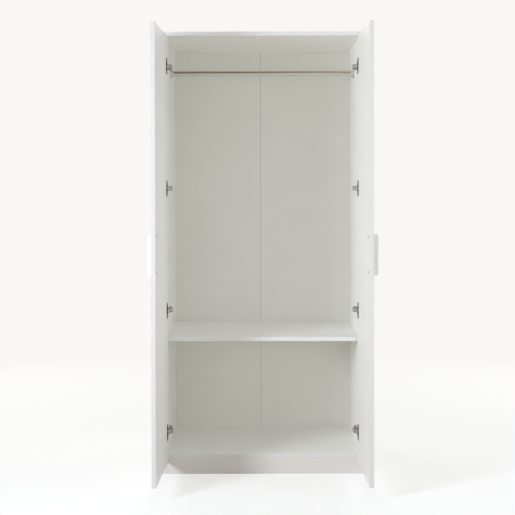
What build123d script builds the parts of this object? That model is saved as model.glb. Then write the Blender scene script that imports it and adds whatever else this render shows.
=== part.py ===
from build123d import *
from math import atan2, cos, degrees, hypot, radians, sin
import os

# Two-door wardrobe of coated board, drawn with both doors standing open.
# X runs to the right, Y to the back and Z up, all in millimetres.
# The origin lies on the floor, under the middle of the plinth.

# Carcass
carcass_width = 800.0
carcass_height = 1750.0
side_depth = 500.0
board = 16.0
plinth_height = 64.0
plinth_setback = 2.0
shelf_hinge_distance = 109.0
edge_band = 0.8
edge_round = 0.6

# Back sheets and the strip that joins them
back_sheet = 3.0
back_inset = 1.5
strip_width = 18.0
strip_flange = 1.0
strip_web = 1.4
strip_clearance = 0.2

# Doors
door_thickness = 16.0
door_gap = 2.0
door_centre_gap = 3.0
door_top_gap = 2.0
door_bottom_height = 54.0
door_overlay = 15.0
door_open_angle = 91.4

# Handles
handle_length = 148.0
handle_width = 22.0
handle_stand = 18.0
handle_edge_distance = 32.0
handle_round = 2.0
handle_screw_pitch = 128.0
handle_screw_radius = 2.0
handle_screw_depth = 11.0
handle_screw_head_radius = 4.0
handle_screw_head_height = 2.2
groove_depth = 12.0
groove_width = 9.0
groove_end_wall = 20.0

# Hinge places
hinge_count = 4
hinge_end_distance = 119.0
cup_edge_distance = 22.5

# Hinge pivots: heights are measured from the side panel's inner face, reaches from its front edge
arm_outer_pivot_height = 23.5
arm_outer_pivot_setback = 5.0
arm_inner_pivot_height = 16.5
arm_inner_pivot_setback = 0.5
cup_outer_pivot_inset = 11.5
cup_outer_pivot_depth = 3.0
cup_inner_pivot_inset = 11.5
cup_inner_pivot_depth = 8.3
outer_link_turn_share = 0.36
inner_link_turn_share = 0.222
inner_link_trim_angle = 0.79
pin_radius = 1.25
slot_pin_radius = 1.0
pin_clearance = 0.06

# Hinge cup
cup_radius = 17.4
cup_wall = 1.0
cup_depth = 13.4
cup_floor = 0.5
cup_hole_clearance = 0.1
flange_thickness = 1.0
flange_radius = 19.0
flange_length = 62.0
flange_width = 32.0
flange_corner = 7.0
cup_screw_pitch = 48.0
cup_screw_offset = 6.0
cup_screw_radius = 1.6
cup_screw_depth = 11.0
cup_screw_head_radius = 3.6
cup_screw_head_height = 1.3

# Hinge links
outer_link_half_height = 8.8
outer_cheek = 1.2
outer_hub_radius = 2.2
outer_bend_inset = 10.8
outer_bend_rise = 3.0
outer_link_half_width = 1.7
outer_web_near = 3.2
outer_web_far = 4.2
outer_web_start = 12.5
outer_web_end_margin = 3.0
inner_link_half_height = 5.2
inner_hub_radius = 2.3
inner_link_half_width = 0.9
inner_bend_inset = 9.8
inner_bend_rise = 1.8
slot_end_margin = 0.13
slot_length = 3.4
fork_half_gap = 1.4
fork_tine = 0.9
fork_root_length = 2.0

# Hinge arm
arm_half_height = 7.0
arm_sheet = 1.2
arm_top_height = 27.0
arm_nose_radius = 2.4
arm_low_height = 9.6
arm_rear_height = 18.0
arm_web_front = 9.5
arm_slope_front = 16.0
arm_slope_rear = 34.0
arm_rear = 64.0
arm_chin_setback = 13.0

# Mounting plate
plate_screw_setback = 37.0
plate_screw_pitch = 32.0
plate_wing_length = 52.0
plate_wing_width = 14.0
plate_wing_thickness = 2.2
plate_body_front = 20.0
plate_body_rear = 61.0
plate_body_half_height = 5.4
plate_body_top = 15.0
plate_screw_radius = 2.5
plate_screw_depth = 12.0
plate_screw_head_radius = 4.6
plate_screw_head_height = 1.8
arm_screw_radius = 2.0
arm_screw_head_radius = 3.6
arm_screw_head_height = 1.6
arm_screw_depth = 6.0
side_screw_setback = 28.0
fixing_screw_setback = 52.0

# Hanging rail
rail_radius = 10.0
rail_wall = 1.0
rail_drop = 119.5
rail_end_gap = 1.0
socket_flange_height = 42.0
socket_flange_width = 26.0
socket_flange = 3.0
socket_reach = 12.0
socket_wall = 2.2
socket_clearance = 0.15
socket_screw_offset = 16.2
socket_screw_radius = 1.75
socket_screw_depth = 12.0
socket_screw_head_radius = 3.2
socket_screw_head_height = 1.4

# Knock-down fittings and dowels
cam_radius = 7.4
cam_depth = 12.0
cam_distance = 34.0
cam_clearance = 0.1
cam_cross_width = 2.0
cam_cross_depth = 2.5
cam_front_distance = 60.0
bolt_radius = 2.5
bolt_neck_radius = 1.7
bolt_head_radius = 3.1
bolt_head_length = 3.0
bolt_neck_length = 4.0
bolt_thread_depth = 11.0
bolt_channel_radius = 4.0
cap_radius = 8.5
cap_thickness = 1.0
dowel_radius = 4.0
dowel_length = 30.0
dowel_depth_in_side = 10.0
dowel_clearance = 0.05
dowel_front_distance = 110.0
plinth_cam_height = 42.0
plinth_dowel_height = 18.0

# Cross recess in a screw's head, as shares of the head's radius and height
recess_length_share = 1.15
recess_width_share = 0.3
recess_depth_share = 0.75

# Nails through the back
nail_radius = 0.8
nail_length = 18.0
nail_head_radius = 2.0
nail_head_height = 0.6
nail_edge_distance = 8.0
nail_count_up = 9
nail_count_across = 3

# Places that follow from the sizes above
half_width = carcass_width / 2
inner_half_width = half_width - board
front_y = -(plinth_setback + board / 2)
back_y = front_y + side_depth
side_height = carcass_height - board
mid_y = (front_y + back_y) / 2
top_front_y = front_y - door_gap - door_thickness
door_top_height = side_height - door_top_gap
door_width = inner_half_width + door_overlay - door_centre_gap / 2
door_mid_height = (door_top_height + door_bottom_height) / 2
handle_x = door_width - handle_edge_distance
overrun = board
rail_height = side_height - rail_drop
hinge_run = door_top_height - door_bottom_height - 2 * hinge_end_distance
hinge_pitch = hinge_run / (hinge_count - 1)

hinge_heights = [
    door_bottom_height + hinge_end_distance + hinge_pitch * place
    for place in range(hinge_count)
]
shelf_height = hinge_heights[1] - shelf_hinge_distance

# Hinge points lie in a plan with u inboard of the side panel and v out to the front
arm_outer_pivot = (arm_outer_pivot_height, -arm_outer_pivot_setback)
arm_inner_pivot = (arm_inner_pivot_height, -arm_inner_pivot_setback)
closed_corner = (-door_overlay, door_gap)

# The line from the arm to the cup's long pin with the door closed sets the inner link's slot
closed_reach = (
    closed_corner[0] + cup_inner_pivot_inset - arm_inner_pivot[0],
    closed_corner[1] + cup_inner_pivot_depth - arm_inner_pivot[1],
)
inner_link_closed_angle = degrees(atan2(closed_reach[1], closed_reach[0])) - inner_link_trim_angle
slot_start = hypot(*closed_reach) - slot_end_margin
fork_tip = slot_start + slot_length
fork_root = slot_start - fork_root_length


def turned(point, centre, angle):
    """The point after a turn of angle degrees about the centre, in a plan."""
    across = point[0] - centre[0]
    out = point[1] - centre[1]
    c = cos(radians(angle))
    s = sin(radians(angle))
    return (centre[0] + across * c - out * s, centre[1] + across * s + out * c)


def corner_at(angle):
    """Where the door's inner hinge corner stands with the door open by this angle."""
    closed_pivot = (
        closed_corner[0] + cup_outer_pivot_inset,
        closed_corner[1] + cup_outer_pivot_depth,
    )
    pivot = turned(closed_pivot, arm_outer_pivot, -outer_link_turn_share * angle)
    reach = turned((cup_outer_pivot_inset, cup_outer_pivot_depth), (0, 0), angle)
    return (pivot[0] - reach[0], pivot[1] - reach[1])


def door_point(inset, depth):
    """A point of the open door, from its hinge edge and its inner face, in the plan."""
    corner = corner_at(door_open_angle)
    reach = turned((inset, depth), (0, 0), door_open_angle)
    return (corner[0] + reach[0], corner[1] + reach[1])


def on_plan(point):
    """The left side's plan point in X and Y."""
    return (point[0] - inner_half_width, front_y - point[1])


def hang(shape):
    """Turn and carry a piece drawn on the left door's own axes to the open door."""
    x, y = on_plan(corner_at(door_open_angle))
    return Pos(x, y, 0) * Rot(0, 0, -door_open_angle) * shape


def mirrored(shape):
    return mirror(shape, about=Plane.YZ)


def rod(radius, start, end):
    """A round bar from one point to another."""
    axis = Vector(*end) - Vector(*start)
    plane = Plane(origin=start, z_dir=axis)
    return extrude(plane * Circle(radius), axis.length)


def block(low, high):
    size = [b - a for a, b in zip(low, high)]
    middle = [(a + b) / 2 for a, b in zip(low, high)]
    return Pos(*middle) * Box(*size)


def plate(points, low, high):
    """A flat plate of this outline between two heights."""
    face = make_face(Polyline(*points, close=True))
    return Pos(0, 0, low) * extrude(face, high - low)


def disc(point, radius, low, high):
    return rod(radius, (point[0], point[1], low), (point[0], point[1], high))


def offset_strip(start, end, near, far):
    """Four corners of a strip beside the line from start to end, between two distances."""
    line = Vector(end[0] - start[0], end[1] - start[1]).normalized()
    side = Vector(-line.Y, line.X)
    return [
        (start[0] + side.X * near, start[1] + side.Y * near),
        (end[0] + side.X * near, end[1] + side.Y * near),
        (end[0] + side.X * far, end[1] + side.Y * far),
        (start[0] + side.X * far, start[1] + side.Y * far),
    ]


def along(start, end, distance):
    line = Vector(end[0] - start[0], end[1] - start[1]).normalized()
    return (start[0] + line.X * distance, start[1] + line.Y * distance)


def distance_between(start, end):
    return Vector(end[0] - start[0], end[1] - start[1]).length


def group(shapes):
    """Several loose solids of one kind in one node."""
    return Compound(children=[solid for shape in shapes for solid in shape.solids()])


def edging(low, high, way, run):
    """A strip of edging between two corners, with its outer long edges eased."""
    strip = block(low, high)
    face = strip.faces().sort_by(Axis((0, 0, 0), way))[-1]
    return fillet(face.edges().filter_by(run), edge_round)


# Places of the fittings

def cam_depths():
    return [front_y + cam_front_distance, back_y - cam_front_distance]


def dowel_depths():
    return [front_y + dowel_front_distance, back_y - dowel_front_distance]


board_levels = [plinth_height + board / 2, shelf_height - board / 2]


def board_bolts(side):
    """Bolts along X that tie the bottom and the shelf to one side, as start, cam end and cam axis."""
    face = side * inner_half_width
    return [
        ((face, y, level), (face - side * cam_distance, y, level))
        for level in board_levels
        for y in cam_depths()
    ]


def top_bolts(side):
    """Bolts along Z that tie the top to one side's upper end."""
    x = side * (half_width - board / 2)
    return [((x, y, side_height), (x, y, side_height - cam_distance)) for y in cam_depths()]


def plinth_bolt(side):
    face = side * inner_half_width
    return ((face, 0, plinth_cam_height), (face - side * cam_distance, 0, plinth_cam_height))


def board_dowels(side):
    """Dowels as the point on the joint and the direction into the board."""
    face = side * inner_half_width
    places = [((face, y, level), (-side, 0, 0)) for level in board_levels for y in dowel_depths()]
    places.append(((face, 0, plinth_dowel_height), (-side, 0, 0)))
    return places


def top_dowels(side):
    x = side * (half_width - board / 2)
    return [((x, y, side_height), (0, 0, -1)) for y in dowel_depths()]


def shifted(point, direction, distance):
    return tuple(a + b * distance for a, b in zip(point, direction))


def dowel_bar(place, extra):
    joint, inward = place
    start = shifted(joint, inward, -dowel_depth_in_side)
    end = shifted(joint, inward, dowel_length - dowel_depth_in_side)
    return rod(dowel_radius + extra, start, end)


def unit(start, end):
    line = (Vector(*end) - Vector(*start)).normalized()
    return (line.X, line.Y, line.Z)


def bolt_channel(bolt):
    """The drilling for a bolt, in the board that holds its cam."""
    return rod(bolt_channel_radius, bolt[0], bolt[1])


def bolt_thread_hole(bolt):
    """The drilling for a bolt's thread, in the board that it screws into."""
    start, end = bolt
    return rod(bolt_radius, shifted(start, unit(start, end), -bolt_thread_depth), start)


def cam_pocket(bolt, mouth):
    """A cam's pocket, open towards the mouth direction."""
    start = shifted(bolt[1], mouth, board / 2)
    end = shifted(bolt[1], mouth, board / 2 - cam_depth - cap_thickness)
    return rod(cam_radius + cam_clearance, start, end)


def cam_cap_recess(bolt, mouth):
    start = shifted(bolt[1], mouth, board / 2)
    end = shifted(bolt[1], mouth, board / 2 - cap_thickness)
    return rod(cap_radius + cam_clearance, start, end)


def cam_jobs():
    """Every cam as its bolt and the way its pocket opens."""
    jobs = []
    for side in (-1, 1):
        jobs += [(bolt, (0, 0, -1)) for bolt in board_bolts(side)]
        jobs += [(bolt, (-side, 0, 0)) for bolt in top_bolts(side)]
        jobs.append((plinth_bolt(side), (0, 1, 0)))
    return jobs


# Nails in the back

def nail_rows():
    """Where the nails go, in X and Z: up both sides, and across the top, shelf and bottom."""
    rows = []
    first = plinth_height + nail_edge_distance
    last = carcass_height - nail_edge_distance
    for place in range(nail_count_up):
        z = first + (last - first) * place / (nail_count_up - 1)
        rows += [(side * (half_width - nail_edge_distance), z) for side in (-1, 1)]
    levels = board_levels + [side_height + board / 2]
    for z in levels:
        for place in range(nail_count_across):
            x = inner_half_width * (place + 1) / (nail_count_across + 1)
            rows += [(side * x, z) for side in (-1, 1)]
    return rows


def nail_bar(place):
    start = (place[0], back_y + back_sheet, place[1])
    return rod(nail_radius, start, (place[0], back_y + back_sheet - nail_length, place[1]))


def nails_in(low_x, high_x, low_z, high_z):
    return [nail_bar(p) for p in nail_rows() if low_x < p[0] < high_x and low_z < p[1] < high_z]


# Carcass boards

def side_panel(side):
    low_x = min(side * inner_half_width, side * half_width)
    panel = block((low_x, front_y + edge_band, 0), (low_x + board, back_y, side_height))
    cuts = [bolt_thread_hole(bolt) for bolt in board_bolts(side) + [plinth_bolt(side)]]
    for bolt in top_bolts(side):
        cuts.append(bolt_channel(bolt))
        cuts.append(cam_pocket(bolt, (-side, 0, 0)))
        cuts.append(cam_cap_recess(bolt, (-side, 0, 0)))
    cuts += [dowel_bar(place, dowel_clearance) for place in board_dowels(side) + top_dowels(side)]
    cuts += nails_in(low_x, low_x + board, 0, side_height)
    cuts += [hole if side < 0 else mirrored(hole) for hole in plate_screw_shanks()]
    cuts += [hole if side < 0 else mirrored(hole) for hole in socket_screw_shanks()]
    return panel - cuts


def top_panel():
    panel = block(
        (-half_width + edge_band, top_front_y + edge_band, side_height),
        (half_width - edge_band, back_y, carcass_height),
    )
    cuts = [bolt_thread_hole(bolt) for side in (-1, 1) for bolt in top_bolts(side)]
    cuts += [dowel_bar(place, dowel_clearance) for side in (-1, 1) for place in top_dowels(side)]
    cuts += nails_in(-half_width, half_width, side_height, carcass_height)
    cuts.append(strip_notch(side_height, carcass_height))
    return panel - cuts


def strip_notch(low, high):
    """Room in a board's rear edge for the joining strip's front flange."""
    half = strip_width / 2 + strip_clearance
    depth = strip_flange + strip_clearance
    return block((-half, back_y - depth, low - overrun), (half, back_y + overrun, high + overrun))


def flat_board(level):
    """The bottom or the shelf, between the sides."""
    low = level - board / 2
    panel = block(
        (-inner_half_width, front_y + edge_band, low), (inner_half_width, back_y, low + board)
    )
    cuts = [strip_notch(low, low + board)]
    for side in (-1, 1):
        for bolt in board_bolts(side):
            if bolt[0][2] == level:
                cuts.append(bolt_channel(bolt))
                cuts.append(cam_pocket(bolt, (0, 0, -1)))
                cuts.append(cam_cap_recess(bolt, (0, 0, -1)))
        for place in board_dowels(side):
            if place[0][2] == level:
                cuts.append(dowel_bar(place, dowel_clearance))
    cuts += nails_in(-inner_half_width, inner_half_width, low, low + board)
    return panel - cuts


def plinth_board():
    panel = block(
        (-inner_half_width, -board / 2, 0), (inner_half_width, board / 2, plinth_height)
    )
    cuts = []
    for side in (-1, 1):
        cuts.append(bolt_channel(plinth_bolt(side)))
        cuts.append(cam_pocket(plinth_bolt(side), (0, 1, 0)))
        cuts.append(cam_cap_recess(plinth_bolt(side), (0, 1, 0)))
        cuts.append(dowel_bar(board_dowels(side)[-1], dowel_clearance))
    return panel - cuts


def carcass_edge_bands():
    """Edging on the front edges of the sides, the bottom and the shelf, and round the top."""
    to_front = (0, -1, 0)
    band_y = front_y + edge_band
    bands = []
    for low_x in (-half_width, inner_half_width):
        bands.append(edging((low_x, front_y, 0), (low_x + board, band_y, side_height), to_front, Axis.Z))
    for level in board_levels:
        low = (-inner_half_width, front_y, level - board / 2)
        bands.append(edging(low, (inner_half_width, band_y, level + board / 2), to_front, Axis.X))
    low = (-half_width, top_front_y, side_height)
    top_band_y = top_front_y + edge_band
    bands.append(edging(low, (half_width, top_band_y, carcass_height), to_front, Axis.X))
    for side in (-1, 1):
        low_x, high_x = sorted((side * half_width, side * (half_width - edge_band)))
        low = (low_x, top_band_y, side_height)
        bands.append(edging(low, (high_x, back_y, carcass_height), (side, 0, 0), Axis.Y))
    return group(bands)


# Back

def back_panel(side):
    """One thin sheet, from the joining strip's web to just inside the carcass's outline."""
    inner = strip_web / 2 + strip_clearance
    outer = half_width - back_inset
    low_x, high_x = sorted((side * inner, side * outer))
    sheet = block(
        (low_x, back_y, plinth_height + back_inset),
        (high_x, back_y + back_sheet, carcass_height - back_inset),
    )
    return sheet - nails_in(low_x, high_x, 0, carcass_height)


def joining_strip():
    """An H section that grips both sheets along the middle."""
    low = plinth_height + back_inset
    high = carcass_height - back_inset
    half = strip_width / 2
    front = block((-half, back_y - strip_flange, low), (half, back_y, high))
    rear_y = back_y + back_sheet
    rear = block((-half, rear_y, low), (half, rear_y + strip_flange, high))
    web = block((-strip_web / 2, back_y, low), (strip_web / 2, rear_y, high))
    return front + rear + web


def back_nails():
    nails = []
    face = back_y + back_sheet
    for place in nail_rows():
        start = (place[0], face, place[1])
        head = rod(nail_head_radius, start, (place[0], face + nail_head_height, place[1]))
        nails.append(nail_bar(place) + head)
    return group(nails)


# Fittings inside the joints

def cam(job):
    """A round cam with a cross on its face and a mouth for the bolt's head."""
    bolt, mouth = job
    face = shifted(bolt[1], mouth, board / 2 - cap_thickness)
    inner = shifted(face, mouth, -cam_depth)
    body = rod(cam_radius, inner, face)
    toward = unit(bolt[1], bolt[0])
    body -= rod(bolt_head_radius + cam_clearance, bolt[1], shifted(bolt[1], toward, cam_radius + overrun))
    away = shifted(bolt[1], toward, -bolt_head_length / 2 - cam_clearance)
    body -= rod(bolt_head_radius + cam_clearance, away, bolt[1])
    plane = Plane(origin=face, z_dir=Vector(*mouth))
    cross = Rectangle(cam_radius, cam_cross_width) + Rectangle(cam_cross_width, cam_radius)
    return body - extrude(plane * cross, -cam_cross_depth)


def bolt_piece(bolt):
    """A bolt from its thread in one board to its head in the cam."""
    start, end = bolt
    way = unit(start, end)
    tip = shifted(start, way, -bolt_thread_depth)
    head_start = shifted(end, way, -bolt_head_length / 2)
    neck_start = shifted(head_start, way, -bolt_neck_length)
    shank = rod(bolt_radius, tip, neck_start)
    neck = rod(bolt_neck_radius, neck_start, head_start)
    head = rod(bolt_head_radius, head_start, shifted(end, way, bolt_head_length / 2))
    head = fillet(head.edges(), bolt_head_length / 4)
    return shank + neck + head


def cap(job):
    """A cover cap let flush into the board over a cam."""
    bolt, mouth = job
    face = shifted(bolt[1], mouth, board / 2)
    inner = shifted(face, mouth, -cap_thickness)
    return rod(cap_radius, inner, face)


def cam_locks():
    return group([cam(job) for job in cam_jobs()])


def cam_bolts():
    return group([bolt_piece(job[0]) for job in cam_jobs()])


def cam_caps():
    return group([cap(job) for job in cam_jobs()])


def wooden_dowels():
    places = [place for side in (-1, 1) for place in board_dowels(side) + top_dowels(side)]
    return group([dowel_bar(place, 0) for place in places])


# Hanging rail

def hanging_rail():
    reach = inner_half_width - socket_flange - rail_end_gap
    centre = (mid_y, rail_height)
    outer = rod(rail_radius, (-reach, *centre), (reach, *centre))
    return outer - rod(rail_radius - rail_wall, (-reach, *centre), (reach, *centre))


def rail_socket():
    """The left socket: an oval flange on the side panel, with a ring that holds the rail."""
    face = -inner_half_width
    plane = Plane(origin=(face, mid_y, rail_height), x_dir=(0, 0, 1), z_dir=(1, 0, 0))
    flange = extrude(plane * SlotOverall(socket_flange_height, socket_flange_width), socket_flange)
    bore = rail_radius + socket_clearance
    ring_end = (face + socket_flange + socket_reach, mid_y, rail_height)
    ring = rod(bore + socket_wall, (face, mid_y, rail_height), ring_end)
    seat = rod(bore, (face + socket_flange, mid_y, rail_height), ring_end)
    return flange + ring - seat - socket_screw_shanks()


def socket_screw_shanks():
    shanks = []
    for way in (-1, 1):
        z = rail_height + way * socket_screw_offset
        start = (-inner_half_width + socket_flange, mid_y, z)
        shanks.append(rod(socket_screw_radius, start, shifted(start, (-1, 0, 0), socket_screw_depth)))
    return shanks


def socket_screws():
    screws = []
    for shank, way in zip(socket_screw_shanks(), (-1, 1)):
        z = rail_height + way * socket_screw_offset
        start = (-inner_half_width + socket_flange, mid_y, z)
        head = domed_head(start, (1, 0, 0), socket_screw_head_radius, socket_screw_head_height)
        screws.append(shank + head)
    return group(screws + [mirrored(screw) for screw in screws])


# Doors, drawn on the left door's own axes: x from the hinge edge, y from the inner face to the room

def door_panel():
    panel = block(
        (edge_band, -door_thickness, door_bottom_height + edge_band),
        (door_width - edge_band, 0, door_top_height - edge_band),
    )
    cuts = []
    for z in hinge_heights:
        centre = (cup_edge_distance, 0, z)
        floor = (cup_edge_distance, -cup_depth - cup_hole_clearance, z)
        cuts.append(rod(cup_radius + cup_hole_clearance, centre, floor))
    cuts += cup_screw_shanks()
    cuts += handle_screw_shanks()
    return panel - cuts


def door_edge_bands():
    """Edging on all four edges of a door, the upright strips over the full height."""
    bands = []
    for low_x, way in ((0, (-1, 0, 0)), (door_width - edge_band, (1, 0, 0))):
        low = (low_x, -door_thickness, door_bottom_height)
        bands.append(edging(low, (low_x + edge_band, 0, door_top_height), way, Axis.Z))
    for low_z, way in ((door_bottom_height, (0, 0, -1)), (door_top_height - edge_band, (0, 0, 1))):
        low = (edge_band, -door_thickness, low_z)
        bands.append(edging(low, (door_width - edge_band, 0, low_z + edge_band), way, Axis.X))
    return group(bands)


def cup():
    """A pressed cup with its flange, at height zero."""
    x = cup_edge_distance
    pot = rod(cup_radius, (x, 0, 0), (x, -cup_depth, 0))
    pot = fillet(pot.edges().sort_by(Axis.Y)[:1], cup_wall)
    face = Plane(origin=(x, 0, 0), x_dir=(0, 0, 1), z_dir=(0, 1, 0))
    wings = Pos(0, cup_screw_offset) * RectangleRounded(flange_length, flange_width, flange_corner)
    flange = extrude(face * (Circle(flange_radius) + wings), flange_thickness)
    hollow = rod(cup_radius - cup_wall, (x, flange_thickness, 0), (x, -cup_depth + cup_floor, 0))
    return pot + flange - hollow


def cup_pin_bars():
    """Two stub pins for the outer link, and the long pin that the inner link's fork rides on."""
    offset = cup_edge_distance - cup_outer_pivot_inset + pin_radius
    half = (cup_radius ** 2 - offset ** 2) ** 0.5
    start = outer_link_half_height - outer_cheek - pin_clearance
    bars = []
    for way in (-1, 1):
        low, high = sorted((way * start, way * half))
        bars.append(
            disc((cup_outer_pivot_inset, -cup_outer_pivot_depth), pin_radius, low, high)
        )
    centre = (cup_inner_pivot_inset, -cup_inner_pivot_depth)
    bars.append(disc(centre, slot_pin_radius, -half, half))
    return bars


def cup_piece():
    shanks = [Pos(0, 0, -hinge_heights[0]) * shank for shank in cup_screw_shanks()[:2]]
    return cup() - cup_pin_bars() - shanks


def cup_screw_shanks():
    shanks = []
    for z in hinge_heights:
        for way in (-1, 1):
            start = (cup_edge_distance + cup_screw_offset, flange_thickness, z + way * cup_screw_pitch / 2)
            shanks.append(rod(cup_screw_radius, start, shifted(start, (0, -1, 0), cup_screw_depth)))
    return shanks


def domed_head(start, way, radius, height):
    """A round head on a face, with its rim rounded and a cross recess for the driver."""
    top = shifted(start, way, height)
    head = rod(radius, start, top)
    rim = max(head.edges(), key=lambda edge: (edge.center() - Vector(*start)).length)
    head = fillet([rim], height / 2)
    length = radius * recess_length_share
    width = radius * recess_width_share
    cross = Rectangle(length, width) + Rectangle(width, length)
    return head - extrude(Plane(origin=top, z_dir=Vector(*way)) * cross, -height * recess_depth_share)


def cup_screws():
    screws = []
    for shank in cup_screw_shanks():
        middle = shank.center()
        start = (middle.X, flange_thickness, middle.Z)
        screws.append(shank + domed_head(start, (0, 1, 0), cup_screw_head_radius, cup_screw_head_height))
    return group(screws)


def at_hinges(shapes):
    """Copies of one hinge's pieces at every hinge of a door."""
    return group([Pos(0, 0, z) * shape for z in hinge_heights for shape in shapes])


# Handle

def handle():
    low_y = -door_thickness - handle_stand
    half_length = handle_length / 2
    half = handle_width / 2
    grip = block(
        (handle_x - half, low_y, door_mid_height - half_length),
        (handle_x + half, -door_thickness, door_mid_height + half_length),
    )
    grip = fillet(grip.faces().sort_by(Axis.Y)[0].edges(), handle_round)
    middle_y = -door_thickness - handle_stand / 2
    half_groove = half_length - groove_end_wall
    groove = block(
        (handle_x - half - overrun, middle_y - groove_width / 2, door_mid_height - half_groove),
        (handle_x - half + groove_depth, middle_y + groove_width / 2, door_mid_height + half_groove),
    )
    return grip - groove - handle_screw_shanks()


def handle_screw_shanks():
    shanks = []
    for way in (-1, 1):
        start = (handle_x, 0, door_mid_height + way * handle_screw_pitch / 2)
        length = door_thickness + handle_screw_depth
        shanks.append(rod(handle_screw_radius, start, shifted(start, (0, -1, 0), length)))
    return shanks


def handle_screws():
    screws = []
    for shank in handle_screw_shanks():
        middle = shank.center()
        start = (middle.X, 0, middle.Z)
        head = domed_head(start, (0, 1, 0), handle_screw_head_radius, handle_screw_head_height)
        screws.append(shank + head)
    return group(screws)


# Hinge links and arms, drawn in the left side's plan with the door open

def outline(points):
    return [on_plan(point) for point in points]


def strip_plate(start, end, near, far, low, high):
    return plate(outline(offset_strip(start, end, near, far)), low, high)


def outer_link():
    """Two cheeks from the arm to the cup, tied by a web that humps over the inner link."""
    cup_end = door_point(cup_outer_pivot_inset, cup_outer_pivot_depth)
    bend = door_point(outer_bend_inset, -outer_bend_rise)
    arm_end = arm_outer_pivot
    span = distance_between(bend, arm_end)
    web_start = along(bend, arm_end, outer_web_start)
    web_end = along(bend, arm_end, span - outer_web_end_margin)
    half = outer_link_half_width
    top = outer_link_half_height
    link = None
    for low in (-top, top - outer_cheek):
        high = low + outer_cheek
        cheek = strip_plate(cup_end, bend, -half, half, low, high)
        cheek += strip_plate(bend, arm_end, -half, half, low, high)
        cheek += strip_plate(web_start, web_end, 0, outer_web_far, low, high)
        cheek += disc(on_plan(bend), half, low, high)
        cheek += disc(on_plan(arm_end), outer_hub_radius, low, high)
        cheek += disc(on_plan(cup_end), outer_hub_radius, low, high)
        link = cheek if link is None else link + cheek
    link += strip_plate(web_start, web_end, outer_web_near, outer_web_far, -top, top)
    link -= disc(on_plan(arm_end), pin_radius + pin_clearance, -top - overrun, top + overrun)
    link -= disc(on_plan(cup_end), pin_radius + pin_clearance, -top - overrun, top + overrun)
    return link


def inner_link():
    """A narrow link from the arm, whose fork rides on the cup's long pin."""
    arm_end = arm_inner_pivot
    bend = door_point(inner_bend_inset, -inner_bend_rise)
    angle = inner_link_closed_angle - inner_link_turn_share * door_open_angle
    root = turned((arm_end[0] + fork_root, arm_end[1]), arm_end, angle)
    inner = turned((arm_end[0] + slot_start, arm_end[1]), arm_end, angle)
    tip = turned((arm_end[0] + fork_tip, arm_end[1]), arm_end, angle)
    beyond = turned((arm_end[0] + fork_tip + overrun, arm_end[1]), arm_end, angle)
    half = inner_link_half_width
    high = inner_link_half_height
    fork = fork_half_gap + fork_tine
    link = strip_plate(arm_end, bend, -half, half, -high, high)
    link += disc(on_plan(bend), half, -high, high)
    link += strip_plate(bend, root, -half, half, -high, high)
    link += disc(on_plan(root), half, -high, high)
    link += strip_plate(root, tip, -fork, fork, -high, high)
    link += disc(on_plan(arm_end), inner_hub_radius, -high, high)
    link -= strip_plate(inner, beyond, -fork_half_gap, fork_half_gap, -high - overrun, high + overrun)
    link -= disc(on_plan(inner), fork_half_gap, -high - overrun, high + overrun)
    link -= disc(on_plan(arm_end), pin_radius + pin_clearance, -high - overrun, high + overrun)
    return link


def arm_outline(top, low):
    """The arm's side view, with its upper and lower edges at these heights."""
    rear_top = top - arm_top_height + arm_rear_height
    return [
        (top, -arm_web_front),
        (top, -arm_slope_front),
        (rear_top, -arm_slope_rear),
        (rear_top, -arm_rear),
        (low, -arm_rear),
        (low, -arm_chin_setback),
        (arm_inner_pivot_height, -arm_chin_setback),
    ]


def hinge_arm():
    """A channel: two cheeks on edge, closed by a web on the side away from the board."""
    top = arm_half_height
    arm = None
    for low in (-top, top - arm_sheet):
        high = low + arm_sheet
        cheek = plate(outline(arm_outline(arm_top_height, arm_low_height)), low, high)
        nose = [
            (arm_top_height, -arm_slope_front),
            (arm_outer_pivot_height + arm_nose_radius, -arm_outer_pivot_setback),
            (arm_outer_pivot_height, -arm_outer_pivot_setback + arm_nose_radius),
            (arm_inner_pivot_height, -arm_inner_pivot_setback + arm_nose_radius),
            (arm_inner_pivot_height - arm_nose_radius, -arm_inner_pivot_setback),
            (arm_low_height, -arm_slope_front),
        ]
        cheek += plate(outline(nose), low, high)
        cheek += disc(on_plan(arm_outer_pivot), arm_nose_radius, low, high)
        cheek += disc(on_plan(arm_inner_pivot), arm_nose_radius, low, high)
        arm = cheek if arm is None else arm + cheek
    web = plate(outline(arm_outline(arm_top_height, arm_low_height)), -top, top)
    inner = arm_outline(arm_top_height - arm_sheet, arm_low_height - overrun)
    room = plate(outline(inner), -top - overrun, top + overrun)
    clear = block((-half_width, front_y, -top - overrun), (0, front_y + arm_web_front, top + overrun))
    arm += web - room - clear
    holes = [disc(on_plan(p), pin_radius, -top, top) for p in (arm_outer_pivot, arm_inner_pivot)]
    return arm - holes - arm_screw_seats()


def arm_pins():
    """Pins through the arm's cheeks: a long one through the outer link, a short one for the inner."""
    places = ((arm_outer_pivot, outer_link_half_height), (arm_inner_pivot, arm_half_height))
    return [disc(on_plan(pivot), pin_radius, -half, half) for pivot, half in places]


def arm_screw_shanks():
    """The adjusting screw and the fixing screw, through the web into the plate's saddle."""
    shanks = []
    for setback in (side_screw_setback, fixing_screw_setback):
        x, y = on_plan((arm_web_height(setback), -setback))
        shanks.append(rod(arm_screw_radius, (x, y, 0), (x - arm_screw_depth, y, 0)))
    return shanks


def arm_web_height(setback):
    """Height of the web's outer face at a distance behind the front edge."""
    if setback > arm_slope_rear:
        return arm_rear_height
    share = (setback - arm_slope_front) / (arm_slope_rear - arm_slope_front)
    return arm_top_height + (arm_rear_height - arm_top_height) * share


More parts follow.
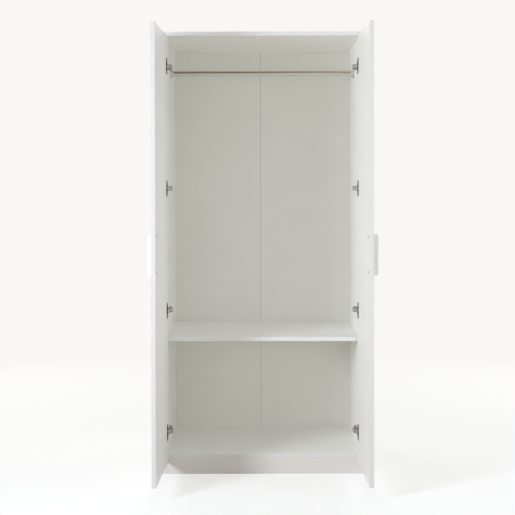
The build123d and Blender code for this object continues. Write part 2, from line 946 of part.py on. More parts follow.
def arm_screw_seats():
    """Holes for the arm's screws, each with a flat round seat for the head."""
    seats = []
    for shank, setback in zip(arm_screw_shanks(), (side_screw_setback, fixing_screw_setback)):
        x, y = on_plan((arm_web_height(setback), -setback))
        seats.append(shank)
        seats.append(rod(arm_screw_head_radius, (x, y, 0), (x + overrun, y, 0)))
    return seats


def arm_screws():
    screws = []
    for shank, setback in zip(arm_screw_shanks(), (side_screw_setback, fixing_screw_setback)):
        x, y = on_plan((arm_web_height(setback), -setback))
        head = domed_head((x, y, 0), (1, 0, 0), arm_screw_head_radius, arm_screw_head_height)
        screws.append(shank + head)
    return screws


def mounting_plate():
    """Wings screwed to the side panel and a saddle that the arm sits over."""
    face = -inner_half_width
    plane = Plane(origin=(face, front_y + plate_screw_setback, 0), x_dir=(0, 0, 1), z_dir=(1, 0, 0))
    wings = extrude(plane * SlotOverall(plate_wing_length, plate_wing_width), plate_wing_thickness)
    half = plate_body_half_height
    low = (face, front_y + plate_body_front, -half)
    saddle = block(low, (face + plate_body_top, front_y + plate_body_rear, half))
    shanks = [Pos(0, 0, -hinge_heights[0]) * s for s in plate_screw_shanks()[:2]]
    return wings + saddle - shanks - arm_screw_shanks()


def plate_screw_shanks():
    shanks = []
    for z in hinge_heights:
        for way in (-1, 1):
            start = (
                -inner_half_width + plate_wing_thickness,
                front_y + plate_screw_setback,
                z + way * plate_screw_pitch / 2,
            )
            shanks.append(rod(plate_screw_radius, start, shifted(start, (-1, 0, 0), plate_screw_depth)))
    return shanks


def plate_screws():
    screws = []
    for shank in plate_screw_shanks():
        middle = shank.center()
        start = (-inner_half_width + plate_wing_thickness, middle.Y, middle.Z)
        head = domed_head(start, (1, 0, 0), plate_screw_head_radius, plate_screw_head_height)
        screws.append(shank + head)
    return group(screws)


def save(shape, node):
    export_step(shape, f"parts/{node}.step")


def save_pair(shape, node):
    """A piece of the left side, and its mirror image on the right."""
    save(shape, f"left_{node}")
    save(mirrored(shape), f"right_{node}")


def main():
    os.makedirs("parts", exist_ok=True)
    save(side_panel(-1), "left_side_panel")
    save(side_panel(1), "right_side_panel")
    save(top_panel(), "top_panel")
    save(flat_board(board_levels[0]), "bottom_panel")
    save(flat_board(board_levels[1]), "middle_shelf")
    save(plinth_board(), "plinth")
    save(carcass_edge_bands(), "carcass_edge_bands")
    save(back_panel(-1), "left_back_panel")
    save(back_panel(1), "right_back_panel")
    save(joining_strip(), "back_joining_strip")
    save(back_nails(), "back_panel_nails")
    save(cam_locks(), "cam_locks")
    save(cam_bolts(), "cam_bolts")
    save(cam_caps(), "cam_cover_caps")
    save(wooden_dowels(), "wooden_dowels")
    save(hanging_rail(), "hanging_rail")
    save_pair(rail_socket(), "rail_socket")
    save(socket_screws(), "rail_socket_screws")
    save_pair(hang(door_panel()), "door")
    save_pair(hang(door_edge_bands()), "door_edge_bands")
    save_pair(hang(handle()), "handle")
    save_pair(hang(handle_screws()), "handle_screws")
    save_pair(hang(at_hinges([cup_piece()])), "hinge_cups")
    save_pair(hang(cup_screws()), "hinge_cup_screws")
    save_pair(hang(at_hinges(cup_pin_bars())), "hinge_cup_pins")
    save_pair(at_hinges([outer_link()]), "outer_links")
    save_pair(at_hinges([inner_link()]), "inner_links")
    save_pair(at_hinges([hinge_arm()]), "hinge_arms")
    save_pair(at_hinges(arm_pins()), "hinge_arm_pins")
    save_pair(at_hinges(arm_screws()), "hinge_arm_screws")
    save_pair(at_hinges([mounting_plate()]), "mounting_plates")
    save_pair(plate_screws(), "mounting_plate_screws")


main()
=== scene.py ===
from math import radians

import bmesh
import bpy
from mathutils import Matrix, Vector


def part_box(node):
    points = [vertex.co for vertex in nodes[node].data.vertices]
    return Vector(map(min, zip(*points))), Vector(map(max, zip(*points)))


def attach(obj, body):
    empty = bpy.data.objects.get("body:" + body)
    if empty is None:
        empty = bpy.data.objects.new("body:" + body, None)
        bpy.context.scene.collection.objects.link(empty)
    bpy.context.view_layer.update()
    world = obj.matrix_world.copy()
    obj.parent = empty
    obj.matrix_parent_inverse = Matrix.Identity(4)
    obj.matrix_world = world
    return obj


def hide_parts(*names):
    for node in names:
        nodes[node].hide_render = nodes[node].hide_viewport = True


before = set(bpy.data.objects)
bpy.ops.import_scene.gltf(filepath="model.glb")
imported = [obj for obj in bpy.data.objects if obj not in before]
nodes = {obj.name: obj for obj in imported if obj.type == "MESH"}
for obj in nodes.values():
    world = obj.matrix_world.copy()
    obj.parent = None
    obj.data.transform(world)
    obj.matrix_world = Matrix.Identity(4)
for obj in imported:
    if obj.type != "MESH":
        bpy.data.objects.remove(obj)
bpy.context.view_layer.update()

MM = 0.001

# Camera, from points of the photograph: its place, its turns in degrees and the pixel that its axis meets
PHOTO_SIDE = 515
CAMERA_PLACE = (2.9 * MM, -4286.5 * MM, 1125.6 * MM)
CAMERA_PITCH = 0.7
CAMERA_ROLL = 0.1
FOCAL_PIXELS = 1080.9
AXIS_PIXEL = (263.2, 203.5)
SENSOR_WIDTH = 36.0
CLIP_START = 0.05
CLIP_END = 60

# Handles; the doors stand open this many degrees past the square
DOOR_LEAN = 1.4
HANDLE_STAND = 18 * MM
HANDLE_WIDTH = 22 * MM
HANDLE_ROUND = 2 * MM
HANDLE_ROUND_STEPS = 5
HANDLE_SOFT = 0.5 * MM
HANDLE_SOFT_STEPS = 3
GROOVE_WIDTH = 9 * MM
GROOVE_DEPTH = 12 * MM
GROOVE_LENGTH_SHARE = 0.78
GROOVE_FLOOR_WIDTH_SHARE = 0.8
GROOVE_FLOOR_LENGTH_SHARE = 0.97

# Tests that find parts of a handle: its outer edges, its groove side, its sharp edges and its smooth faces
OUTER_SHARE = 0.45
ALMOST_SQUARE = 0.99
SHARP_DEGREES = 35
SMOOTH_DEGREES = 40

# Boards: colours, spots per metre, depths of relief, strengths of relief, roughness from smooth to dull
BOARD_WHITE = (0.938, 0.938, 0.919)
BOARD_SHADE = (0.923, 0.923, 0.904)
# The plinth's darker copy of the board white is painted shade
PLINTH_WHITE = (0.81, 0.795, 0.775)
PLINTH_SHADE = (0.795, 0.78, 0.76)
BOARD_CLOUD = 9
BOARD_WAVE = 60
BOARD_PEARL = 1300
WAVE_DEPTH = 0.05 * MM
WAVE_STRENGTH = 0.25
PEARL_DEPTH = 0.04 * MM
PEARL_STRENGTH = 0.35
BOARD_ROUGH = (0.42, 0.5)
BOARD_GLOSS = 0.4

# Back sheets, and the painted shade line in the joint along the left lip of their strip
SHEET_WHITE = (0.81, 0.81, 0.772)
SHEET_SHADE = (0.79, 0.79, 0.752)
SHEET_CLOUD = 7
SHEET_FIBRE = 700
FIBRE_STRETCH = (1, 1, 0.4)
FIBRE_DEPTH = 0.08 * MM
FIBRE_STRENGTH = 0.3
SHEET_ROUGH = (0.55, 0.66)
SHEET_GLOSS = 0.3
STRIP_ROUGH = 0.5
# Painted shade: colour of the thin line along the strip's left lip, and where it starts and ends past the
# lip
STRIP_LIP_SHADE = (0.42, 0.41, 0.38)
LIP_SHADE_START = 1.2 * MM
LIP_SHADE_END = 1.8 * MM

# Plastics
HANDLE_WHITE = (0.64, 0.642, 0.646)
HANDLE_SHADE = (0.63, 0.632, 0.636)
HANDLE_ROUGH = 0.36
CAP_WHITE = (0.84, 0.845, 0.835)
CAP_SHADE = (0.82, 0.825, 0.815)
CAP_ROUGH = 0.4
EDGING_WHITE = (0.81, 0.812, 0.805)
EDGING_SHADE = (0.8, 0.802, 0.795)
# The doors' edging is a darker copy of the edging: painted shade on the doors' free edges
DOOR_EDGING_WHITE = (0.76, 0.764, 0.764)
DOOR_EDGING_SHADE = (0.75, 0.754, 0.754)
EDGING_ROUGH = 0.34
PLASTIC_CLOUD = 30
PLASTIC_GRAIN = 2200
GRAIN_DEPTH = 0.04 * MM
GRAIN_STRENGTH = 0.25
PLASTIC_ROUGH_SPREAD = 0.08

# Plated and drawn metals
METAL_LINES = 500
METAL_STAIN = 90
LINE_DEPTH = 0.03 * MM
LINE_STRENGTH = 0.2
METAL_ROUGH_SPREAD = 0.1
ARM_BRIGHT = (0.86, 0.85, 0.83)
ARM_BRIGHT_SHADE = (0.78, 0.77, 0.75)
ARM_ROUGH = 0.27

# Metals by name: colour, shade, roughness, gloss at the edge of sight
METALS = {
    "socket_nickel": ((0.62, 0.6, 0.56), (0.55, 0.53, 0.49), 0.3, 1),
    # The cups' near-black colour is painted reflection of dark surroundings and painted shade on their
    # flanges
    "cup_nickel_painted_dark": ((0.1, 0.077, 0.066), (0.08, 0.06, 0.051), 0.34, 0.3),
    "plate_nickel": (ARM_BRIGHT, ARM_BRIGHT_SHADE, ARM_ROUGH, 1),
    "pin_steel": ((0.5, 0.5, 0.5), (0.42, 0.42, 0.42), 0.3, 1),
    "screw_zinc": ((0.5, 0.49, 0.46), (0.42, 0.41, 0.38), 0.3, 1),
    "cam_zinc": ((0.5, 0.5, 0.5), (0.4, 0.4, 0.41), 0.42, 1),
    "nail_steel": ((0.45, 0.45, 0.46), (0.35, 0.35, 0.36), 0.35, 1),
}

# Pressings by name: colour of the painted shade at the folds and the nose, half height of the open face,
# how far the nose stands off, edge gloss
PRESSINGS = {
    "link_nickel": ((0.3, 0.25, 0.22), 6.2 * MM, 24.5 * MM, 1),
    "arm_nickel": ((0.25, 0.22, 0.2), 5.6 * MM, 40 * MM, 0.8),
}
FOLDED_METAL = 0.55
FOLD_FADE = 0.6 * MM
ARM_HALF_HEIGHT = 7 * MM
GAPS_BETWEEN_HINGES = 3

# Rail, with a band of painted dark reflection along its front, strongest at the left
RAIL_LIGHT = (0.66, 0.64, 0.57)
RAIL_LIGHT_SHADE = (0.62, 0.6, 0.53)
RAIL_ROUGH = 0.3
RAIL_LINES = 900
RAIL_STRETCH = (0.02, 1, 1)
RAIL_PAINTED_REFLECTION = (0.22, 0.18, 0.155)
REFLECTION_BAND_TOP = 6 * MM
REFLECTION_BAND_LOW = -2.5 * MM
REFLECTION_BAND_FADE = 2 * MM
REFLECTION_AT_RIGHT = 0.7
REFLECTION_LEFT_END = -100 * MM
REFLECTION_RIGHT_END = 250 * MM

# Beech of the dowels
BEECH_LIGHT = (0.66, 0.46, 0.27)
BEECH_DARK = (0.5, 0.32, 0.17)
BEECH_FLECK = 600
FLECK_STRETCH = (0.15, 1, 1)
FLECK_DEPTH = 0.1 * MM
FLECK_STRENGTH = 0.3
BEECH_ROUGH = (0.6, 0.75)

# Surround and floor; the floor adds a glow to lit paper near the object, and is the background far from it
BACKGROUND = (0.939, 0.930, 0.914)
WORLD_LIGHT = 0.37
WORLD_COLOUR = (1, 0.985, 0.94)
LIGHT_BOUNCES = 12
FLOOR_RADIUS = 30
FLOOR_SIDES = 96
FLOOR_GREY = (0.49, 0.43, 0.36)
FLOOR_PAPER = (0.552, 0.5592, 0.567)
FLOOR_ROUGH = 0.9
FLOOR_GLOW = 0.508
SHADOW_REACH = 3.2
SHADOW_FULL = 0.6

# Lamps: name, place, aim, size, watts and colour; the key passes in front of the doors
KEY_COLOUR = (0.885, 0.928, 1)
FRONT_COLOUR = (0.965, 0.972, 1)
PLAIN_COLOUR = (1, 1, 1)
LAMPS = (
    ("key", (-2.25, -2.55, 1.45), (0.8, -2.45, 0.79), (0.9, 0.9), 90, KEY_COLOUR),
    ("top_fill", (0, -1.2, 3.2), (0, -0.6, 0), (3, 3), 5, PLAIN_COLOUR),
    ("side_fill", (2.25, -1.45, 1.15), (-0.4, -0.35, 1.1), (1, 1.6), 17, KEY_COLOUR),
    ("front_fill", (0, -5, 0.7), (0, 0, 0.9), (3, 2.4), 34, FRONT_COLOUR),
    ("back_fill", (-2.8, 2.8, 1.6), (0, 0.3, 0.9), (2.4, 2), 60, PLAIN_COLOUR),
    ("back_fill", (2.8, 2.8, 1.6), (0, 0.3, 0.9), (2.4, 2), 60, PLAIN_COLOUR),
)


def new_material(name):
    """A new material with its node tree and its main shader."""
    material = bpy.data.materials.new(name)
    material.use_nodes = True
    tree = material.node_tree
    return material, tree, tree.nodes["Principled BSDF"]


def put(tree, socket, value):
    """Links a socket to another, or sets it to a number or a colour."""
    if isinstance(value, bpy.types.NodeSocket):
        tree.links.new(value, socket)
    elif isinstance(value, tuple):
        socket.default_value = (*value, 1)
    else:
        socket.default_value = value


def maths(tree, operation, *values):
    """One sum on sockets and plain numbers."""
    node = tree.nodes.new("ShaderNodeMath")
    node.operation = operation
    for socket, value in zip(node.inputs, values):
        put(tree, socket, value)
    return node.outputs[0]


def pattern(tree, kind, scale, stretch=(1, 1, 1), **settings):
    """A texture on Object coordinates, in metres, stretched along the axes."""
    place = tree.nodes.new("ShaderNodeTexCoord")
    turn = tree.nodes.new("ShaderNodeMapping")
    turn.inputs["Scale"].default_value = stretch
    tree.links.new(place.outputs["Object"], turn.inputs["Vector"])
    texture = tree.nodes.new(kind)
    if scale is not None:
        texture.inputs["Scale"].default_value = scale
    for key, value in settings.items():
        texture.inputs[key].default_value = value
    tree.links.new(turn.outputs["Vector"], texture.inputs["Vector"])
    return texture


def object_axes(tree):
    """The place of each point along X, Y and Z, in metres."""
    place = tree.nodes.new("ShaderNodeTexCoord")
    axes = tree.nodes.new("ShaderNodeSeparateXYZ")
    tree.links.new(place.outputs["Object"], axes.inputs[0])
    return axes.outputs


def spread(tree, source, low, high, start=0.3, end=0.7):
    """Maps a value between start and end onto the values from low to high."""
    ramp = tree.nodes.new("ShaderNodeMapRange")
    ramp.inputs["From Min"].default_value = start
    ramp.inputs["From Max"].default_value = end
    ramp.inputs["To Min"].default_value = low
    ramp.inputs["To Max"].default_value = high
    tree.links.new(source, ramp.inputs["Value"])
    return ramp.outputs["Result"]


def mixed(tree, factor, first, second):
    """Mixes two colours, the first where the factor is 0 and the second where it is 1."""
    mix = tree.nodes.new("ShaderNodeMix")
    mix.data_type = "RGBA"
    put(tree, mix.inputs["A"], first)
    put(tree, mix.inputs["B"], second)
    tree.links.new(factor, mix.inputs["Factor"])
    return mix.outputs["Result"]


def two_tone(tree, source, light, dark):
    """Mixes two near colours by a pattern."""
    return mixed(tree, spread(tree, source, 0, 1), dark, light)


def raised(tree, source, depth, strength, under=None):
    """Bump of this depth in metres from a pattern, on top of another bump if one is given."""
    bump = tree.nodes.new("ShaderNodeBump")
    bump.inputs["Strength"].default_value = strength
    bump.inputs["Distance"].default_value = depth
    tree.links.new(source, bump.inputs["Height"])
    if under is not None:
        tree.links.new(under, bump.inputs["Normal"])
    return bump.outputs["Normal"]


def base_colour(shader):
    """The pattern that now gives a shader its colour."""
    return shader.inputs["Base Color"].links[0].from_socket


def coated_board(name, light, dark):
    """White resin film: a fine pearl, faint cloudiness and a low sheen."""
    material, tree, shader = new_material(name)
    cloud = pattern(tree, "ShaderNodeTexNoise", BOARD_CLOUD, Detail=3).outputs["Fac"]
    pearl = pattern(tree, "ShaderNodeTexNoise", BOARD_PEARL, Detail=2, Roughness=0.6).outputs["Fac"]
    wave = pattern(tree, "ShaderNodeTexNoise", BOARD_WAVE, Detail=2).outputs["Fac"]
    tree.links.new(two_tone(tree, cloud, light, dark), shader.inputs["Base Color"])
    tree.links.new(spread(tree, wave, *BOARD_ROUGH), shader.inputs["Roughness"])
    coarse = raised(tree, wave, WAVE_DEPTH, WAVE_STRENGTH)
    fine = raised(tree, pearl, PEARL_DEPTH, PEARL_STRENGTH, coarse)
    tree.links.new(fine, shader.inputs["Normal"])
    shader.inputs["Specular IOR Level"].default_value = BOARD_GLOSS
    return material


def back_sheet():
    """Thin fibreboard with a painted face, a little greyer than the boards."""
    material, tree, shader = new_material("back_sheet")
    cloud = pattern(tree, "ShaderNodeTexNoise", SHEET_CLOUD, Detail=4).outputs["Fac"]
    fibre = pattern(tree, "ShaderNodeTexNoise", SHEET_FIBRE, stretch=FIBRE_STRETCH, Detail=3).outputs["Fac"]
    tree.links.new(two_tone(tree, cloud, SHEET_WHITE, SHEET_SHADE), shader.inputs["Base Color"])
    tree.links.new(spread(tree, fibre, *SHEET_ROUGH), shader.inputs["Roughness"])
    tree.links.new(raised(tree, fibre, FIBRE_DEPTH, FIBRE_STRENGTH), shader.inputs["Normal"])
    shader.inputs["Specular IOR Level"].default_value = SHEET_GLOSS
    return material


def white_plastic(name, light, dark, rough):
    """Moulded plastic with a spark-eroded grain."""
    material, tree, shader = new_material(name)
    cloud = pattern(tree, "ShaderNodeTexNoise", PLASTIC_CLOUD, Detail=2).outputs["Fac"]
    grain = pattern(tree, "ShaderNodeTexVoronoi", PLASTIC_GRAIN).outputs["Distance"]
    tree.links.new(two_tone(tree, cloud, light, dark), shader.inputs["Base Color"])
    tree.links.new(spread(tree, cloud, rough, rough + PLASTIC_ROUGH_SPREAD), shader.inputs["Roughness"])
    tree.links.new(raised(tree, grain, GRAIN_DEPTH, GRAIN_STRENGTH), shader.inputs["Normal"])
    return material


def strip_plastic():
    """The sheets' white in extruded plastic, with a painted shade line in the joint along the strip's left
    lip.
    """
    material = white_plastic("strip_plastic", SHEET_WHITE, SHEET_SHADE, STRIP_ROUGH)
    tree = material.node_tree
    shader = tree.nodes["Principled BSDF"]
    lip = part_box("back_joining_strip")[0][0]
    # Painted shade: darker within two millimetres of the strip's left lip
    clear_of_lip_shade = spread(tree, object_axes(tree)["X"], 0, 1, lip + LIP_SHADE_START, lip + LIP_SHADE_END)
    tree.links.new(mixed(tree, clear_of_lip_shade, STRIP_LIP_SHADE, base_colour(shader)), shader.inputs["Base Color"])
    return material


def plated_steel(name, light, dark, rough, rim, stretch=(1, 1, 1), scale=METAL_LINES):
    """Plated or drawn metal with fine lines along its length; rim is its gloss at the edge of sight."""
    material, tree, shader = new_material(name)
    lines = pattern(tree, "ShaderNodeTexNoise", scale, stretch=stretch, Detail=3).outputs["Fac"]
    stain = pattern(tree, "ShaderNodeTexNoise", METAL_STAIN, Detail=3).outputs["Fac"]
    tree.links.new(two_tone(tree, stain, light, dark), shader.inputs["Base Color"])
    tree.links.new(spread(tree, lines, rough, rough + METAL_ROUGH_SPREAD), shader.inputs["Roughness"])
    tree.links.new(raised(tree, lines, LINE_DEPTH, LINE_STRENGTH), shader.inputs["Normal"])
    shader.inputs["Metallic"].default_value = 1
    shader.inputs["Specular Tint"].default_value = (rim, rim, rim, 1)
    return material, tree, shader


def rail_with_painted_reflection():
    """Plated tube with a painted dark reflection in a band along its front, strongest at the left."""
    material, tree, shader = plated_steel(
        "rail_chrome", RAIL_LIGHT, RAIL_LIGHT_SHADE, RAIL_ROUGH, 1, RAIL_STRETCH, RAIL_LINES
    )
    axes = object_axes(tree)
    low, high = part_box("hanging_rail")
    middle = (low[2] + high[2]) / 2
    above = spread(tree, axes["Z"], 1, 0, middle + REFLECTION_BAND_TOP - REFLECTION_BAND_FADE, middle + REFLECTION_BAND_TOP)
    below = spread(tree, axes["Z"], 0, 1, middle + REFLECTION_BAND_LOW - REFLECTION_BAND_FADE, middle + REFLECTION_BAND_LOW)
    across = spread(tree, axes["X"], 1, REFLECTION_AT_RIGHT, REFLECTION_LEFT_END, REFLECTION_RIGHT_END)
    # Painted reflection: a dark band across the front of the tube, weaker towards the right
    band = maths(tree, "MULTIPLY", maths(tree, "MULTIPLY", above, below), across)
    tree.links.new(mixed(tree, band, base_colour(shader), RAIL_PAINTED_REFLECTION), shader.inputs["Base Color"])
    return material


def folded_steel(name, dark, fold, nose, rim):
    """Plated pressing, bright on its open faces, with painted shade round its folds and its nose."""
    material, tree, shader = plated_steel(name, ARM_BRIGHT, ARM_BRIGHT_SHADE, ARM_ROUGH, rim)
    shader.inputs["Metallic"].default_value = FOLDED_METAL
    axes = object_axes(tree)
    low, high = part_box("left_hinge_arms")
    pitch = (high[2] - low[2] - 2 * ARM_HALF_HEIGHT) / GAPS_BETWEEN_HINGES
    from_first = maths(tree, "SUBTRACT", axes["Z"], low[2] + ARM_HALF_HEIGHT)
    off_hinge = maths(tree, "ABSOLUTE", maths(tree, "WRAP", from_first, pitch / 2, -pitch / 2))
    flat = spread(tree, off_hinge, 1, 0, fold - FOLD_FADE, fold)
    nose_place = -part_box("left_side_panel")[1][0] - nose
    across = maths(tree, "ABSOLUTE", axes["X"])
    behind_nose = spread(tree, across, 0, 1, nose_place, nose_place + FOLD_FADE)
    open_face = maths(tree, "MULTIPLY", flat, behind_nose)
    # Painted shade: the folds and the nose take the dark colour, the open faces keep the bright one
    tree.links.new(mixed(tree, open_face, dark, base_colour(shader)), shader.inputs["Base Color"])
    return material


def beech():
    """Bare beech with its short flecks along the grain."""
    material, tree, shader = new_material("beech")
    fleck = pattern(tree, "ShaderNodeTexNoise", BEECH_FLECK, stretch=FLECK_STRETCH, Detail=3).outputs["Fac"]
    tree.links.new(two_tone(tree, fleck, BEECH_LIGHT, BEECH_DARK), shader.inputs["Base Color"])
    tree.links.new(spread(tree, fleck, *BEECH_ROUGH), shader.inputs["Roughness"])
    tree.links.new(raised(tree, fleck, FLECK_DEPTH, FLECK_STRENGTH), shader.inputs["Normal"])
    return material


def dress(material, *names):
    """Gives CAD nodes one finish."""
    for name in names:
        piece = nodes[name]
        piece.data.materials.clear()
        piece.data.materials.append(material)


def both(name):
    """The names of a piece on the left and on the right."""
    return [f"left_{name}", f"right_{name}"]


def dress_nodes():
    """Gives every CAD node its finish."""
    boards = ["top_panel", "bottom_panel", "middle_shelf", *both("side_panel"), *both("door")]
    dress(coated_board("coated_board", BOARD_WHITE, BOARD_SHADE), *boards)
    # Painted shade: the plinth takes the darker copy of the board white
    dress(coated_board("plinth_board_painted_shade", PLINTH_WHITE, PLINTH_SHADE), "plinth")
    dress(back_sheet(), *both("back_panel"))
    dress(white_plastic("white_plastic", CAP_WHITE, CAP_SHADE, CAP_ROUGH), "cam_cover_caps")
    dress(strip_plastic(), "back_joining_strip")
    dress(white_plastic("edging", EDGING_WHITE, EDGING_SHADE, EDGING_ROUGH), "carcass_edge_bands")
    # Painted shade: the doors' edge bands take the darker copy of the edging
    door_edging_painted_shade = white_plastic("door_edging_painted_shade", DOOR_EDGING_WHITE, DOOR_EDGING_SHADE, EDGING_ROUGH)
    dress(door_edging_painted_shade, *both("door_edge_bands"))
    dress(rail_with_painted_reflection(), "hanging_rail")
    dress(folded_steel("link_nickel", *PRESSINGS["link_nickel"]), *both("outer_links"))
    dress(folded_steel("arm_nickel", *PRESSINGS["arm_nickel"]), *both("hinge_arms"))
    screws = [
        "rail_socket_screws", "cam_bolts", *both("handle_screws"), *both("hinge_cup_screws"),
        *both("hinge_arm_screws"), *both("mounting_plate_screws"),
    ]
    pieces_of_metal = {
        "socket_nickel": both("rail_socket"),
        "cup_nickel_painted_dark": both("hinge_cups"),
        "plate_nickel": both("inner_links") + both("mounting_plates"),
        "pin_steel": both("hinge_cup_pins") + both("hinge_arm_pins"),
        "screw_zinc": screws,
        "cam_zinc": ["cam_locks"],
        "nail_steel": ["back_panel_nails"],
    }
    for name, pieces in pieces_of_metal.items():
        dress(plated_steel(name, *METALS[name])[0], *pieces)
    dress(beech(), "wooden_dowels")


def edit(piece):
    """Opens one piece in edit mode with nothing selected in it."""
    bpy.ops.object.select_all(action="DESELECT")
    piece.select_set(True)
    bpy.context.view_layer.objects.active = piece
    bpy.ops.object.mode_set(mode="EDIT")
    bpy.ops.mesh.select_all(action="DESELECT")


def pick(piece, kind, wanted):
    """Selects the faces or edges that pass a test."""
    bpy.ops.mesh.select_mode(type=kind)
    bpy.ops.mesh.select_all(action="DESELECT")
    mesh = bmesh.from_edit_mesh(piece.data)
    for part in (mesh.faces if kind == "FACE" else mesh.edges):
        part.select_set(wanted(part))
    bmesh.update_edit_mesh(piece.data)


def middle_of(part):
    """The middle of a face or an edge."""
    return sum((corner.co for corner in part.verts), Vector()) / len(part.verts)


def sink_groove(grip):
    """Sinks the finger groove into the side of the handle that faces the hinges."""
    pick(grip, "FACE", lambda face: face.normal.y > ALMOST_SQUARE)
    bpy.ops.mesh.inset(thickness=(HANDLE_STAND - GROOVE_WIDTH - HANDLE_ROUND) / 2)
    bpy.ops.transform.resize(value=(1, 1, GROOVE_LENGTH_SHARE), center_override=(0, HANDLE_WIDTH / 2, 0))
    bpy.ops.mesh.extrude_region_move(TRANSFORM_OT_translate={"value": (0, -GROOVE_DEPTH, 0)})
    bpy.ops.transform.resize(
        value=(GROOVE_FLOOR_WIDTH_SHARE, 1, GROOVE_FLOOR_LENGTH_SHARE), center_override=(0, 0, 0)
    )


def soften(grip):
    """Takes the sharp edges off and shades the handle smooth across its roundings."""
    bpy.ops.mesh.select_mode(type="EDGE")
    bpy.ops.mesh.select_all(action="DESELECT")
    bpy.ops.mesh.edges_select_sharp(sharpness=radians(SHARP_DEGREES))
    bpy.ops.mesh.bevel(offset=HANDLE_SOFT, segments=HANDLE_SOFT_STEPS, affect="EDGES")
    bpy.ops.mesh.select_all(action="SELECT")
    bpy.ops.mesh.normals_make_consistent(inside=False)
    bpy.ops.object.mode_set(mode="OBJECT")
    bpy.ops.object.shade_smooth_by_angle(angle=radians(SMOOTH_DEGREES))
    bpy.ops.object.modifier_add(type="WEIGHTED_NORMAL")
    bpy.ops.object.modifier_apply(modifier=grip.modifiers[-1].name)


def handle_grip(name, out):
    """A moulded bar with soft edges and a finger groove; out is the side of the door that it stands on."""
    low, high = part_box(f"{name}_handle")
    bpy.ops.mesh.primitive_cube_add(size=1)
    grip = bpy.context.object
    grip.name = f"{name}_handle_grip"
    grip.scale = (HANDLE_STAND, HANDLE_WIDTH, high[2] - low[2])
    bpy.ops.object.transform_apply(location=False, rotation=False, scale=True)
    edit(grip)
    pick(grip, "EDGE", lambda edge: middle_of(edge).x * out > HANDLE_STAND * OUTER_SHARE)
    bpy.ops.mesh.bevel(offset=HANDLE_ROUND, segments=HANDLE_ROUND_STEPS, affect="EDGES")
    sink_groove(grip)
    soften(grip)
    grip.rotation_euler = (0, 0, radians(out * DOOR_LEAN))
    grip.location = (Vector(low) + Vector(high)) / 2
    bpy.ops.object.transform_apply(location=True, rotation=True, scale=True)
    grip.data.materials.append(bpy.data.materials["handle_plastic"])
    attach(grip, f"{name}_door")
    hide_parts(f"{name}_handle")


def camera():
    """The photograph's camera."""
    data = bpy.data.cameras.new("camera")
    data.sensor_width = SENSOR_WIDTH
    data.lens = FOCAL_PIXELS / PHOTO_SIDE * SENSOR_WIDTH
    data.shift_x = (PHOTO_SIDE / 2 - AXIS_PIXEL[0]) / PHOTO_SIDE
    data.shift_y = (AXIS_PIXEL[1] - PHOTO_SIDE / 2) / PHOTO_SIDE
    data.clip_start = CLIP_START
    data.clip_end = CLIP_END
    eye = bpy.data.objects.new("camera", data)
    eye.location = CAMERA_PLACE
    eye.rotation_euler = (radians(90 - CAMERA_PITCH), radians(CAMERA_ROLL), 0)
    bpy.context.scene.collection.objects.link(eye)
    bpy.context.scene.camera = eye


def blend(tree, factor, first, second):
    """Mixes two shaders, the first where the factor is 0 and the second where it is 1."""
    mix = tree.nodes.new("ShaderNodeMixShader")
    for socket, value in zip(mix.inputs, (factor, first, second)):
        tree.links.new(value, socket)
    return mix.outputs[0]


def seen_or_lit(tree, seen, lit):
    """Shows one shader to the camera, in gloss and through glass, and lights with the other."""
    rays = tree.nodes.new("ShaderNodeLightPath").outputs
    direct = maths(tree, "MAXIMUM", rays["Is Camera Ray"], rays["Is Glossy Ray"])
    through = maths(tree, "MAXIMUM", direct, rays["Is Transmission Ray"])
    return blend(tree, through, lit, seen)


def studio_air():
    """A pale surround that shows as the photograph's background and lights softly."""
    world = bpy.data.worlds.new("studio_air")
    bpy.context.scene.world = world
    world.use_nodes = True
    tree = world.node_tree
    tree.nodes.clear()
    seen = tree.nodes.new("ShaderNodeBackground")
    seen.inputs["Color"].default_value = (*BACKGROUND, 1)
    lit = tree.nodes.new("ShaderNodeBackground")
    lit.inputs["Color"].default_value = (*WORLD_COLOUR, 1)
    lit.inputs["Strength"].default_value = WORLD_LIGHT
    out = tree.nodes.new("ShaderNodeOutputWorld")
    tree.links.new(seen_or_lit(tree, seen.outputs[0], lit.outputs[0]), out.inputs["Surface"])


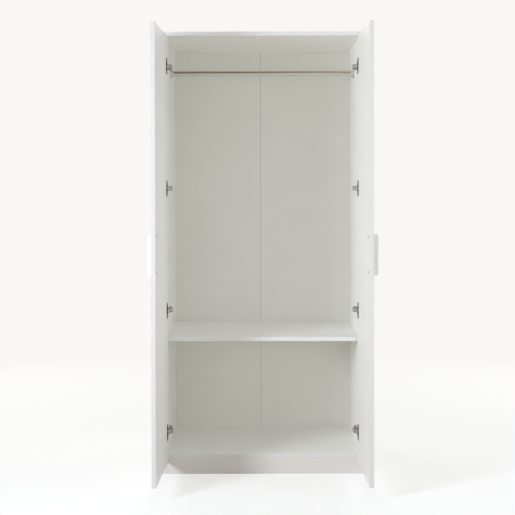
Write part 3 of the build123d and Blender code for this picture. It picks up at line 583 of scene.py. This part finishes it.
def glow(tree, strength):
    """The background's colour as an emission."""
    emission = tree.nodes.new("ShaderNodeEmission")
    emission.inputs["Color"].default_value = (*BACKGROUND, 1)
    emission.inputs["Strength"].default_value = strength
    return emission.outputs[0]


def floor():
    """A pale floor that shows the object's shadow near it and fades into the background."""
    bpy.ops.mesh.primitive_circle_add(
        vertices=FLOOR_SIDES, radius=FLOOR_RADIUS, fill_type="NGON", location=(0, 0, 0)
    )
    ground = bpy.context.object
    ground.name = "floor"
    material, tree, paper = new_material("floor_paper")
    paper.inputs["Base Color"].default_value = (*FLOOR_PAPER, 1)
    paper.inputs["Roughness"].default_value = FLOOR_ROUGH
    paper.inputs["Specular IOR Level"].default_value = 0
    near = tree.nodes.new("ShaderNodeAddShader")
    tree.links.new(glow(tree, FLOOR_GLOW), near.inputs[0])
    tree.links.new(paper.outputs[0], near.inputs[1])
    ring = pattern(tree, "ShaderNodeTexGradient", None, stretch=(1 / SHADOW_REACH,) * 3)
    ring.gradient_type = "SPHERICAL"
    nearness = spread(tree, ring.outputs["Fac"], 0, 1, 0, SHADOW_FULL)
    seen = blend(tree, nearness, glow(tree, 1), near.outputs[0])
    lit = tree.nodes.new("ShaderNodeBsdfDiffuse")
    lit.inputs["Color"].default_value = (*FLOOR_GREY, 1)
    out = tree.nodes["Material Output"]
    tree.links.new(seen_or_lit(tree, seen, lit.outputs[0]), out.inputs["Surface"])
    ground.data.materials.append(material)


def lamp(name, place, aim, size, watts, colour):
    """One rectangular lamp that faces its aim."""
    data = bpy.data.lights.new(name, "AREA")
    data.shape = "RECTANGLE"
    data.size, data.size_y = size
    data.energy = watts
    data.color = colour
    light = bpy.data.objects.new(name, data)
    light.location = place
    light.rotation_euler = (Vector(aim) - Vector(place)).to_track_quat("-Z", "Y").to_euler()
    bpy.context.scene.collection.objects.link(light)


bpy.context.scene.view_settings.view_transform = "Standard"
bpy.context.scene.cycles.diffuse_bounces = LIGHT_BOUNCES
dress_nodes()
white_plastic("handle_plastic", HANDLE_WHITE, HANDLE_SHADE, HANDLE_ROUGH)
handle_grip("left", -1)
handle_grip("right", 1)
camera()
studio_air()
floor()
for setting in LAMPS:
    lamp(*setting)
